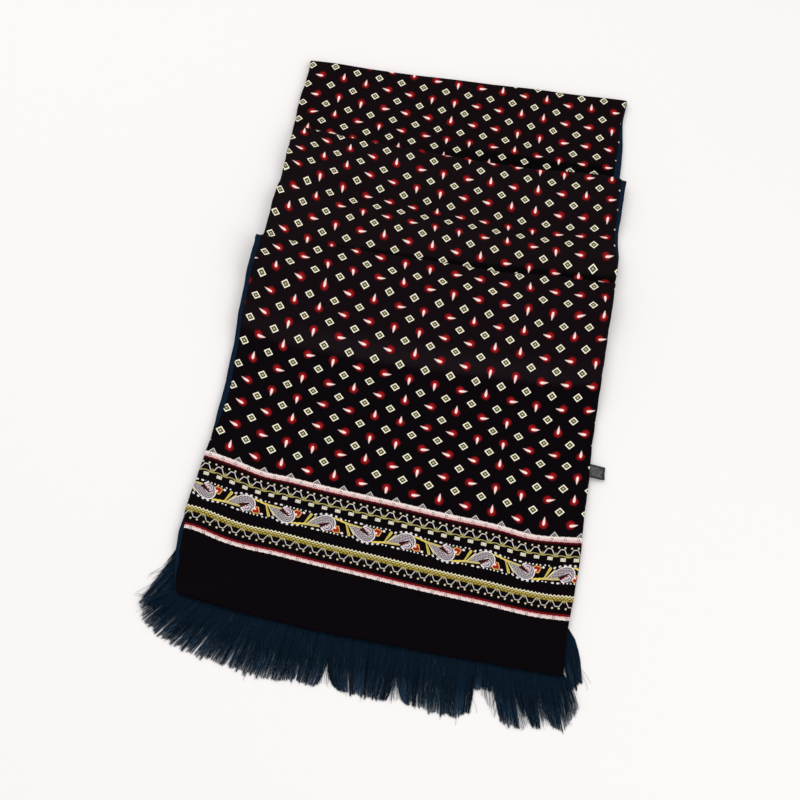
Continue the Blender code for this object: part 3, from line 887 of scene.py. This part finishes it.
    # pale yellow lines along both sides of the tail
    far5, at5 = stroke(X, Y, 2.6, -4.0, 14.0, -3.2)
    far6, at6 = stroke(X, Y, 4.4, -3.4, 10.0, 3.9)
    color = paint(color, under(far5, 0.85 - at5 * 0.25, 0.3) * inside, srgb(204, 188, 116))
    color = paint(color, under(abs(far5 - 0.15), 0.15, 0.2) * inside * 0.6, srgb(132, 112, 54))
    color = paint(color, under(far6, 0.36, 0.25) * inside, srgb(208, 196, 134))
    return color


def printed_silk():
    made, shader = new_material("printed_silk_cloth")
    uv, P, Q = cloth_coordinates()
    shake = noise(uv.outputs["UV"], 900.0, 1.0)
    P = P + (shake - 0.5) * 0.30
    Q = Q + (shake - 0.5) * 0.26
    d = BAND_Q - Q
    color = field_print(P, Q)
    border = over(d, -6.6, 0.05)
    color = paint(color, border, GROUND)
    shifted = P + 3.35
    color = half_diamonds(color, P, d)
    color = bands(color, P, d, 0.2, 1.95, (1.9, 3.9), srgb(66, 6, 11), 1.0)
    color = arches(color, shifted, d, 8.05, 1.0, 0.75, srgb(206, 200, 198))
    color = garland(color, shifted, d)
    color = boteh_row(color, P, d)
    color = braid(color, P, d)
    color = arches(color, P + 1.45, d, 52.35, -1.0, 0.9, srgb(188, 182, 178))
    color = bands(color, P, d, 60.8, 1.35, (57.5, 59.8), srgb(104, 12, 18), -1.0)
    Number.tree.links.new(color.source, shader.inputs["Base Color"])

    twill = wave((P + Q) * (2 * math.pi / 0.46)) * 0.5 + wave((P - Q * 0.35) * (2 * math.pi / 0.31)) * 0.3
    soft = noise(uv.outputs["UV"], 260.0, 3.0)
    first = bump(soft, 0.0006, 0.25)
    second = bump(twill, 0.00005, 0.35, first)
    Number.tree.links.new(second, shader.inputs["Normal"])
    rough = calc("MULTIPLY_ADD", noise(uv.outputs["UV"], 60.0, 2.0), 0.16, 0.42)
    Number.tree.links.new(rough.source, shader.inputs["Roughness"])
    shader.inputs["Specular IOR Level"].default_value = 0.018
    return made


def navy_cloth():
    made, shader = new_material("navy_twill_cloth")
    uv, P, Q = cloth_coordinates()
    twill = wave((P * 0.9 + Q) * (2 * math.pi / 0.62))
    fuzz = noise(uv.outputs["UV"], 1400.0, 3.0, 0.6)
    broad = noise(uv.outputs["UV"], 45.0, 2.0)
    color = paint(srgb(6, 20, 34), calc("MULTIPLY_ADD", twill, 0.22, 0.35) + (fuzz - 0.5) * 0.7, srgb(14, 36, 57))
    color = paint(color, calc("MULTIPLY_ADD", broad, 1.2, -0.45, clamp=True) * 0.5, srgb(8, 26, 43))
    Number.tree.links.new(color.source, shader.inputs["Base Color"])
    height = twill * 0.5 + fuzz
    Number.tree.links.new(bump(height, 0.00012, 0.6), shader.inputs["Normal"])
    shader.inputs["Roughness"].default_value = 0.9
    shader.inputs["Specular IOR Level"].default_value = 0.05
    return made


# ----------------------------------------------------------------- the camera
camera_data = bpy.data.cameras.new("Camera")
camera_data.sensor_fit = "HORIZONTAL"
camera_data.sensor_width = 36.0
camera_data.lens = 67.5
camera_data.clip_start = 0.05
camera_data.clip_end = 20.0
camera = bpy.data.objects.new("Camera", camera_data)
COLLECTION.objects.link(camera)
right = (0.973788, 0.187167, 0.129246)
up = (-0.224286, 0.884672, 0.408719)
back = (-0.037842, -0.426994, 0.903462)
camera.matrix_world = Matrix((
    (right[0], up[0], back[0], -0.05382),
    (right[1], up[1], back[1], -0.55476),
    (right[2], up[2], back[2], 1.07331),
    (0, 0, 0, 1),
))
bpy.context.scene.camera = camera

# --------------------------------------------------------------- the cloth
silk_surface = printed_silk()
navy_surface = navy_cloth()


def middle_leg(x, y):
    return middle_height(x, y) + GAP


def far_leg(x, y):
    return far_height(x, y) + GAP


def on_table(x, y):
    return np.zeros_like(x * y)


TOP = Stretch("top", TOP_EDGES, lambda x: line("hem", x), lambda x: line("fold_top", x),
              top_height, middle_leg, LEG_TOP - TURN, top_print, TOP_CREASES, 1, TOP_REVEAL, NO_REVEAL, (0.0055, 0.0025))
MIDDLE = Stretch("middle", MIDDLE_EDGES, lambda x: line("fold_top", x) - LEG_TOP + TUCK, lambda x: line("fold_middle", x),
                 middle_height, far_leg, LEG_MIDDLE - TURN, middle_print, MIDDLE_CREASES, 2, NO_REVEAL, MIDDLE_REVEAL, (0, 0))
FAR = Stretch("far", FAR_EDGES, lambda x: line("fold_middle", x) - LEG_MIDDLE + TUCK, lambda x: line("fold_far", x),
              far_height, on_table, LEG_FAR, far_print, FAR_CREASES, 3, NO_REVEAL, FAR_REVEAL, (0, 0))

silk = {}
backing = {}
for stretch in (TOP, MIDDLE, FAR):
    silk[stretch.name], backing[stretch.name] = build_stretch(stretch, silk_surface, navy_surface)
    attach(silk[stretch.name], "root")
    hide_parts("silk_" + stretch.name)
    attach(backing[stretch.name], "root")
    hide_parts("backing_" + stretch.name)


def build_hidden(silk_cloth, navy):
    """The rest of the cloth, out of sight: it runs from below the far fold to under the border, back out
    to its own far fold, and once more to the near end, where its hem and its fringe lie under the upper ones."""

    def make(inset, wall, trim, surface, title, step, fine, seed):
        width = 0.284
        across = stations_across(width, fine) / width

        def at(y, layer):
            low = column(PILE_EDGES, "y", "left", y) + trim + (0.0004, 0.0011, 0.0002)[layer]
            high = column(PILE_EDGES, "y", "right", y) - trim - (0.0002, 0.0014, 0.0006)[layer]
            low = low + wobble(y, seed + layer, (0.061, 0.0005), (0.023, 0.0002))
            high = high + wobble(y, seed + 4 + layer, (0.057, 0.0005), (0.021, 0.0002))
            return low + across * (high - low)

        def settle(name, add, layer):
            y = np.zeros_like(across)
            for _ in range(5):
                y = line(name, at(y, layer)) + add
            return y

        first = settle("fold_far", -TURN - LEG_FAR, 0)
        near = settle("near_fold", 0.021 + TURN, 0)
        tight = 0.00015
        far = settle("hidden_fold", -0.0026, 1)
        last = settle("under_hem", 0.0, 2)
        rows = []
        count = round(float(np.mean(first - near)) / step)
        for n in range(count + 1):
            y = first + (near - first) * n / count
            x = at(y, 0)
            rows.append(np.stack([x, y, 0.00002 + inset + 0 * y], -1))
        for n in range(1, 13):
            angle = math.pi * (-0.5 - n / 12)
            x = at(near, 0) * (1 - n / 12) + at(near, 1) * n / 12
            rows.append(np.stack([
                x, near + (TURN - inset) * math.cos(angle), TURN + (TURN - inset) * math.sin(angle) + 0 * near
            ], -1))
        count = round(float(np.mean(far - near)) / step)
        for n in range(1, count + 1):
            y = near + (far - near) * n / count
            rows.append(np.stack([at(y, 1), y, 2 * TURN - inset + 0 * y], -1))
        for n in range(1, 9):
            angle = math.pi * (-0.5 + n / 8)
            x = at(far, 1) * (1 - n / 8) + at(far, 2) * n / 8
            rows.append(np.stack([
                x, far + (tight + inset) * math.cos(angle),
                2 * TURN + tight + (tight + inset) * math.sin(angle) + 0 * far
            ], -1))
        # the turn just made runs from below the joint to above it, so its first half is turned over
        count = round(float(np.mean(far - last)) / step)
        for n in range(1, count + 1):
            y = far + (last - far) * n / count
            x = at(y, 2)
            inner = np.maximum(y, line("under_hem", x) + 0.0005)
            cover = np.minimum(top_height(x, inner), 4 * PITCH)
            lift = np.clip(cover - 2 * PITCH, 0, None) * ((2 * TURN + 2 * tight) / (2 * PITCH))
            rows.append(np.stack([x, y, lift + inset], -1))
        points = np.stack(rows)
        step_lengths = np.linalg.norm(np.diff(points, axis=0), axis=2)
        run = np.concatenate([np.zeros((1, points.shape[1])), np.cumsum(step_lengths, axis=0)])
        uv = np.stack([(points[..., 0] * 1000 + 35.3) / 1000, -0.3 + run], -1)
        thing = sheet(title, points, uv, surface, wall)
        return thing, float(run[-1].mean())

    first, long = make(0.0, SILK_WALL, 0.0008, silk_cloth, "silk_hidden_cloth", 0.004, 0.006, 11)
    second, _ = make(UNDER_SILK, CLOTH_WALL, 0.0, navy, "backing_hidden_cloth", 0.004, 0.006, 11)
    return first, second, long


hidden_silk, hidden_backing, hidden_length = build_hidden(silk_surface, navy_surface)
for piece, finish in ((hidden_silk, "printed_silk"), (hidden_backing, "navy_cloth")):
    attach(piece, "root")
    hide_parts("hidden_layers")

# -------------------------------------------------------------- the fringes
# Locks of thread: where each leaves the hem (mm across), where its ends lie, how it leans
# aside (below 1 soon, above 1 late), its share of strays, how dense it is and how much
# shorter its short threads are.
Lock = namedtuple("Lock", "root_a root_b tip_ax tip_ay tip_bx tip_by lean_a lean_b stray dense short")
UPPER_LOCKS = [
    Lock(-142.0, -135.5, -164.0, -255.0, -158.0, -268.0, 0.90, 0.95, 0.10, 1.5, 0.50),
    Lock(-135.5, -124.0, -157.0, -268.5, -146.0, -275.5, 0.95, 1.05, 0.10, 1.1, 0.35),
    Lock(-124.0, -113.0, -145.0, -276.5, -133.0, -281.5, 1.05, 1.15, 0.08, 1.0, 0.25),
    Lock(-113.0, -101.0, -132.0, -281.5, -117.0, -284.2, 1.15, 1.2, 0.06, 1.0, 0.22),
    Lock(-101.0, -82.0, -116.0, -284.6, -92.0, -287.8, 1.2, 1.2, 0.05, 1.0, 0.20),
    Lock(-82.0, -58.0, -91.0, -288.0, -62.5, -290.8, 1.2, 1.1, 0.05, 1.0, 0.20),
    Lock(-58.0, -40.0, -61.5, -290.4, -41.0, -288.4, 1.1, 1.1, 0.05, 1.0, 0.20),
    Lock(-40.0, -20.9, -40.0, -288.4, -24.2, -287.6, 1.2, 4.5, 0.03, 1.0, 0.16),
    Lock(-21.4, -19.4, -23.0, -286.0, -13.0, -285.5, 3.0, 4.0, 0.20, 0.45, 0.30),
    Lock(-20.7, -7.0, -11.8, -286.6, -1.0, -288.2, 5.0, 1.9, 0.03, 1.05, 0.14),
    Lock(-7.0, 10.0, -0.4, -288.2, 12.4, -288.2, 1.9, 1.4, 0.05, 1.0, 0.16),
    Lock(10.0, 30.4, 12.6, -288.2, 27.4, -287.6, 1.4, 4.0, 0.04, 1.0, 0.18),
    Lock(29.6, 31.8, 28.0, -286.5, 37.4, -284.5, 3.0, 3.4, 0.30, 1.0, 0.35),
    Lock(30.8, 46.0, 38.0, -285.0, 49.0, -287.0, 4.0, 1.6, 0.04, 1.0, 0.18),
    Lock(46.0, 61.0, 49.2, -286.6, 66.4, -289.2, 1.5, 1.2, 0.05, 1.0, 0.20),
    Lock(61.0, 76.0, 67.0, -289.0, 79.5, -287.2, 1.2, 1.1, 0.05, 1.0, 0.20),
    Lock(76.0, 87.6, 80.0, -287.0, 88.4, -283.0, 1.1, 1.4, 0.03, 1.0, 0.16),
    Lock(87.4, 92.0, 88.8, -266.2, 93.2, -263.6, 1.2, 1.0, 0.00, 1.25, 0.06),
    Lock(92.0, 98.6, 93.2, -263.2, 101.4, -264.6, 1.0, 0.9, 0.00, 1.25, 0.07),
    Lock(89.5, 95.0, 94.0, -268.0, 108.0, -281.0, 1.2, 0.9, 0.30, 0.22, 0.35),
    Lock(93.5, 101.0, 106.6, -271.8, 112.2, -284.8, 0.85, 0.9, 0.04, 1.35, 0.26),
    Lock(101.0, 113.0, 112.4, -284.8, 127.0, -287.0, 1.0, 1.2, 0.06, 1.1, 0.22),
    Lock(112.6, 120.0, 126.2, -276.2, 134.2, -275.0, 1.2, 1.3, 0.12, 1.0, 0.16),
    Lock(112.8, 119.8, 127.2, -286.2, 134.0, -282.0, 1.3, 1.6, 0.20, 0.22, 0.35),
    Lock(119.8, 131.0, 134.8, -283.2, 142.0, -282.6, 1.6, 1.3, 0.06, 1.15, 0.24),
    Lock(130.6, 135.0, 141.6, -276.5, 148.6, -276.0, 1.3, 1.3, 0.12, 1.0, 0.16),
    Lock(131.0, 134.6, 142.6, -281.5, 148.8, -279.5, 1.4, 1.4, 0.20, 0.25, 0.34),
    Lock(134.6, 144.0, 149.2, -280.2, 158.6, -281.0, 1.3, 1.05, 0.06, 1.1, 0.24),
    Lock(144.0, 151.0, 159.4, -280.6, 167.2, -262.0, 1.0, 0.75, 0.06, 1.3, 0.30),
]
UNDER_LOCKS = [
    Lock(-147.4, -146.2, -149.0, -215.0, -151.0, -219.0, 1.0, 1.0, 0.06, 0.9, 0.60),
    Lock(-146.4, -145.0, -152.0, -221.5, -154.6, -226.0, 1.0, 1.0, 0.06, 0.9, 0.60),
    Lock(-145.2, -143.6, -154.4, -229.5, -156.4, -235.0, 1.0, 1.0, 0.06, 0.9, 0.60),
    Lock(-144.0, -141.0, -157.0, -238.0, -160.4, -245.0, 1.0, 1.0, 0.06, 0.9, 0.60),
    Lock(-141.0, -136.5, -160.0, -247.5, -164.0, -254.5, 1.0, 1.0, 0.06, 1.4, 0.45),
    Lock(-136.5, -124.0, -163.5, -254.5, -151.0, -258.5, 0.95, 1.0, 0.08, 1.4, 0.30),
    Lock(-124.0, -70.0, -150.0, -258.5, -84.0, -259.5, 1.1, 1.1, 0.06, 0.55, 0.2),
    Lock(-70.0, -8.0, -83.0, -260.0, -10.0, -260.6, 1.1, 1.1, 0.06, 0.55, 0.2),
    Lock(-8.0, 60.0, -9.0, -260.4, 66.0, -260.0, 1.1, 1.1, 0.06, 0.55, 0.2),
    Lock(60.0, 112.0, 67.5, -260.0, 126.0, -258.5, 1.1, 1.1, 0.06, 0.55, 0.2),
    Lock(112.0, 136.0, 127.0, -258.0, 158.5, -252.0, 1.1, 0.9, 0.06, 1.1, 0.2),
    Lock(136.0, 150.6, 158.5, -250.0, 167.6, -242.5, 0.72, 0.60, 0.03, 2.6, 0.16),
]
HEADER = 0.0035  # how far the threads start behind the hem's edge


def build_fringe(title, locks, root_line, per_mm, thick, seed, height):
    """Many fine threads side by side, gathered into small points towards their ends."""
    random = np.random.default_rng(seed)
    table = []
    for lock in locks:
        count = max(6, round((lock.root_b - lock.root_a) * per_mm * lock.dense))
        share = (np.arange(count) + random.uniform(0, 1, count)) / count
        root = lock.root_a + (lock.root_b - lock.root_a) * share
        reach = math.hypot(lock.tip_bx - lock.tip_ax, lock.tip_by - lock.tip_ay)
        points = max(2, round(reach / 1.7))
        group = np.minimum((share * points + random.normal(0, 0.22, count)).astype(int), points - 1)
        aim = (np.arange(points) + 0.5 + random.normal(0, 0.16, points))[group] / points
        tip_x = lock.tip_ax + (lock.tip_bx - lock.tip_ax) * share
        tip_y = lock.tip_ay + (lock.tip_by - lock.tip_ay) * share
        pull = (aim - share) * random.uniform(0.1, 0.85, count)
        pull_x = (lock.tip_bx - lock.tip_ax) * pull
        pull_y = (lock.tip_by - lock.tip_ay) * pull
        group_reach = random.normal(1.0, 0.020, points)[group]
        shorter = np.where(random.uniform(0, 1, count) < 0.42, random.uniform(0, 1, count) ** 1.6 * lock.short, 0)
        length_share = group_reach * (1 - shorter) * random.normal(1.0, 0.012, count)
        stray = random.uniform(0, 1, count) < lock.stray
        pull_x = pull_x + np.where(stray, random.normal(0, 4.2, count), random.normal(0, 0.30, count))
        pull_y = pull_y + np.where(stray, random.normal(1.2, 2.6, count), 0)
        lean = (lock.lean_a + (lock.lean_b - lock.lean_a) * share) * random.uniform(0.94, 1.08, count)
        shade = 0.5 * random.uniform(0, 1, points)[group] + 0.5 * random.uniform(0, 1, count)
        table.append(np.stack([root, tip_x, tip_y, pull_x, pull_y, length_share, lean, shade], -1))
    root_x, tip_x, tip_y, pull_x, pull_y, length_share, lean, shade = np.concatenate(table).T[..., None]
    root_x, tip_x, tip_y, pull_x, pull_y = (v / 1000 for v in (root_x, tip_x, tip_y, pull_x, pull_y))
    total = len(root_x)
    root_y = root_line(root_x) + HEADER
    rings, sides = 7, 3
    t = np.array([0, 0.2, 0.4, 0.58, 0.74, 0.88, 1.0])[None, :] * length_share
    bend = random.normal(0, 1, (total, 1))
    wiggle = random.uniform(0, 2 * np.pi, (total, 1))
    gather = smooth(0.55, 1.0, t)
    x = (root_x + (tip_x - root_x) * t ** lean + pull_x * gather
         + 0.00045 * bend * np.sin(np.pi * np.clip(t, 0, 1)) + 0.00022 * np.sin(9 * t + wiggle) * t)
    y = root_y + (tip_y - root_y) * t + pull_y * gather
    z = height(x, y, t, random.uniform(0, 1, (total, 1)), random.uniform(0, 1, (total, 1)))
    centre = np.stack([x, y, z], -1)
    ahead = np.gradient(centre, axis=1)
    ahead /= np.linalg.norm(ahead, axis=2, keepdims=True)
    across = np.cross(ahead, np.array([0.0, 0.0, 1.0]))
    across /= np.linalg.norm(across, axis=2, keepdims=True)
    above = np.cross(across, ahead)
    radius = thick / 2 * (1.0 - 0.5 * np.clip(t, 0, 1) ** 3) * random.uniform(0.75, 1.2, (total, 1))
    twist = random.uniform(0, 2 * np.pi, (total, 1))
    points = []
    for k in range(sides):
        angle = twist + 2 * np.pi * k / sides
        points.append(centre + radius[..., None] * (across * np.cos(angle)[..., None] + above * np.sin(angle)[..., None]))
    points = np.stack(points, 2)  # thread, ring, side
    points[..., 2] = np.maximum(points[..., 2], 0.00003)
    number = np.arange(total * rings * sides).reshape(total, rings, sides)
    faces = []
    for k in range(sides):
        n = (k + 1) % sides
        quads = np.stack([number[:, :-1, k], number[:, :-1, n], number[:, 1:, n], number[:, 1:, k]], -1).reshape(-1, 4)
        faces.extend(quads.tolist())
    faces.extend(number[:, 0, ::-1].tolist())
    faces.extend(number[:, -1, :].tolist())
    uv = np.stack([
        np.broadcast_to(shade[:, :, None], number.shape), np.broadcast_to(t[:, :, None], number.shape)
    ], -1).reshape(-1, 2)
    return new_mesh(title, points.reshape(-1, 3), faces, thread_surface, uv)


def thread_material():
    made, shader = new_material("navy_thread_strands")
    source = Number.tree.nodes.new("ShaderNodeUVMap")
    source.uv_map = "Cloth"
    split = Number.tree.nodes.new("ShaderNodeSeparateXYZ")
    Number.tree.links.new(source.outputs["UV"], split.inputs[0])
    shade, along = Number(split.outputs[0]), Number(split.outputs[1])
    color = paint(srgb(3, 10, 18), shade, srgb(16, 41, 62))
    color = paint(color, under(along, 0.42, 0.5) * 0.7, srgb(9, 27, 43))
    # painted sheen highlight: paler ends on the paler threads
    color = paint(color, over(along, 0.78, 0.4) * over(shade, 0.55, 0.3) * 0.6, srgb(56, 80, 104))
    Number.tree.links.new(color.source, shader.inputs["Base Color"])
    shader.inputs["Roughness"].default_value = 0.75
    shader.inputs["Specular IOR Level"].default_value = 0.06
    return made


thread_surface = thread_material()


def upper_height(x, y, t, a, b):
    over_lower = (FRINGE_WALL + GAP) * smooth(-0.2700, -0.2580, y)
    start = 0.0016 + 0.0009 * a
    rest = over_lower + 0.0002 + 0.0015 * b * (0.35 + 0.65 * np.sin(np.pi * np.clip(t * 0.9 + 0.1, 0, 1)))
    share = smooth(0.12, 0.55, t)
    return np.maximum(start * (1 - share) + rest * share, 0.0002)


def under_height(x, y, t, a, b):
    start = 0.0005 + 0.0007 * a
    rest = 0.0001 + 0.0011 * b
    share = smooth(0.1, 0.5, t)
    return start * (1 - share) + rest * share


upper_fringe = build_fringe("fringe_top_threads", UPPER_LOCKS, lambda x: line("hem", x), 15.5, 0.00030, 21, upper_height)
under_fringe = build_fringe("fringe_under_threads", UNDER_LOCKS, lambda x: line("under_hem", x), 9.0, 0.00030, 22, under_height)
for piece, node in ((upper_fringe, "fringe_top"), (under_fringe, "fringe_under")):
    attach(piece, "root")
    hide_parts(node)


# ----------------------------------------------------------------- the label
def tape_material():
    made, shader = new_material("black_woven_tape")
    uv, P, Q = cloth_coordinates()
    weave = wave(P * (2 * math.pi / 0.42)) * wave(Q * (2 * math.pi / 0.30))
    fuzz = noise(uv.outputs["UV"], 1500.0, 2.0)
    middle = under(abs(Q), 4.2, 0.8) * between(P, 1.6, 11.8, 0.8)
    patchy = over(noise(uv.outputs["UV"], 640.0, 2.0, 0.6), 0.5, 0.12)
    color = paint(srgb(10, 10, 11), calc("MULTIPLY_ADD", weave, 0.25, 0.4) + (fuzz - 0.5) * 0.5, srgb(30, 30, 31))
    color = paint(color, middle * (patchy * 0.7 + 0.12), srgb(96, 95, 96))
    Number.tree.links.new(color.source, shader.inputs["Base Color"])
    Number.tree.links.new(bump(weave * 0.5 + fuzz, 0.0001, 0.5), shader.inputs["Normal"])
    shader.inputs["Roughness"].default_value = 0.55
    shader.inputs["Specular IOR Level"].default_value = 0.3
    return made


def build_label():
    """A small folded tape, sewn into the right-hand seam: two layers that meet in a fold at its outer end."""
    middle_y, turn = -0.0746, math.radians(4)
    long, wide, radius = 0.0135, 0.0110, 0.00042
    edge_x = float(column(TOP_EDGES, "y", "right", np.array(middle_y))) - 0.0012
    root_z = float(top_height(np.array(edge_x), np.array(middle_y))) - 0.0010
    out = [(s, radius) for s in np.linspace(0, long, 12)]
    out += [(long + radius * math.sin(a), radius * math.cos(a)) for a in np.linspace(0, math.pi, 8)[1:-1]]
    out += [(s, -radius) for s in np.linspace(long, 0, 12)]
    rows, uv = [], []
    run = 0.0
    for n, (s, lift) in enumerate(out):
        if n:
            run += math.dist(out[n - 1], out[n])
        row, marks = [], []
        for k in range(13):
            along = wide * (k / 12 - 0.5) * (1 - 0.04 * s / long)
            x = edge_x + s * math.cos(turn) - along * math.sin(turn) * min(1.0, s / 0.004)
            y = middle_y + along + s * math.sin(turn)
            droop = 0.0027 * float(smooth(0.0005, long * 1.05, np.array(s)))
            curl = 0.0007 * (along / (wide / 2)) ** 2 * min(1.0, s / 0.006)
            ripple = 0.00025 * math.sin(along * 700 + s * 300) * min(1.0, s / 0.004)
            row.append((x, y, root_z - droop + lift + curl + ripple))
            marks.append((run, along))
        rows.append(row)
        uv.append(marks)
    points = np.array(rows)[:, ::-1]
    uv = np.array(uv)[:, ::-1]
    return sheet("side_label_tape", points, uv, tape_material(), 0.00028)


label = build_label()
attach(label, "root")
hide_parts("side_label")

# ------------------------------------------------------- floor and soft light
floor_mesh = bpy.data.meshes.new("Floor")
floor_data = bmesh.new()
bmesh.ops.create_grid(floor_data, x_segments=2, y_segments=2, size=3.0)
floor_data.to_mesh(floor_mesh)
floor_data.free()
floor_object = bpy.data.objects.new("Floor", floor_mesh)
floor_object.location = (0, 0, -0.0002)
COLLECTION.objects.link(floor_object)
floor_material, floor_shader = new_material("pale_floor")
floor_shader.inputs["Base Color"].default_value = (0.80, 0.785, 0.78, 1)
floor_shader.inputs["Roughness"].default_value = 0.9
floor_shader.inputs["Specular IOR Level"].default_value = 0.1
floor_mesh.materials.append(floor_material)

world = bpy.data.worlds.new("World")
bpy.context.scene.world = world
world.use_nodes = True
world.node_tree.nodes["Background"].inputs["Color"].default_value = (1.0, 0.99, 0.985, 1)
world.node_tree.nodes["Background"].inputs["Strength"].default_value = 0.81


def area_light(name, place, aim, size, watts, color):
    data = bpy.data.lights.new(name, "AREA")
    data.shape = "SQUARE"
    data.size = size
    data.energy = watts
    data.color = color
    lamp = bpy.data.objects.new(name, data)
    lamp.location = place
    lamp.rotation_euler = (Vector(aim) - Vector(place)).to_track_quat("-Z", "Y").to_euler()
    COLLECTION.objects.link(lamp)


area_light("Key", (-0.9, 0.7, 1.9), (0, 0, 0), 1.8, 16.0, (1.0, 0.985, 0.97))
area_light("Fill", (1.3, -0.9, 1.6), (0, 0, 0), 1.8, 14.6, (0.99, 0.985, 0.98))
bpy.context.scene.view_settings.view_transform = "Standard"
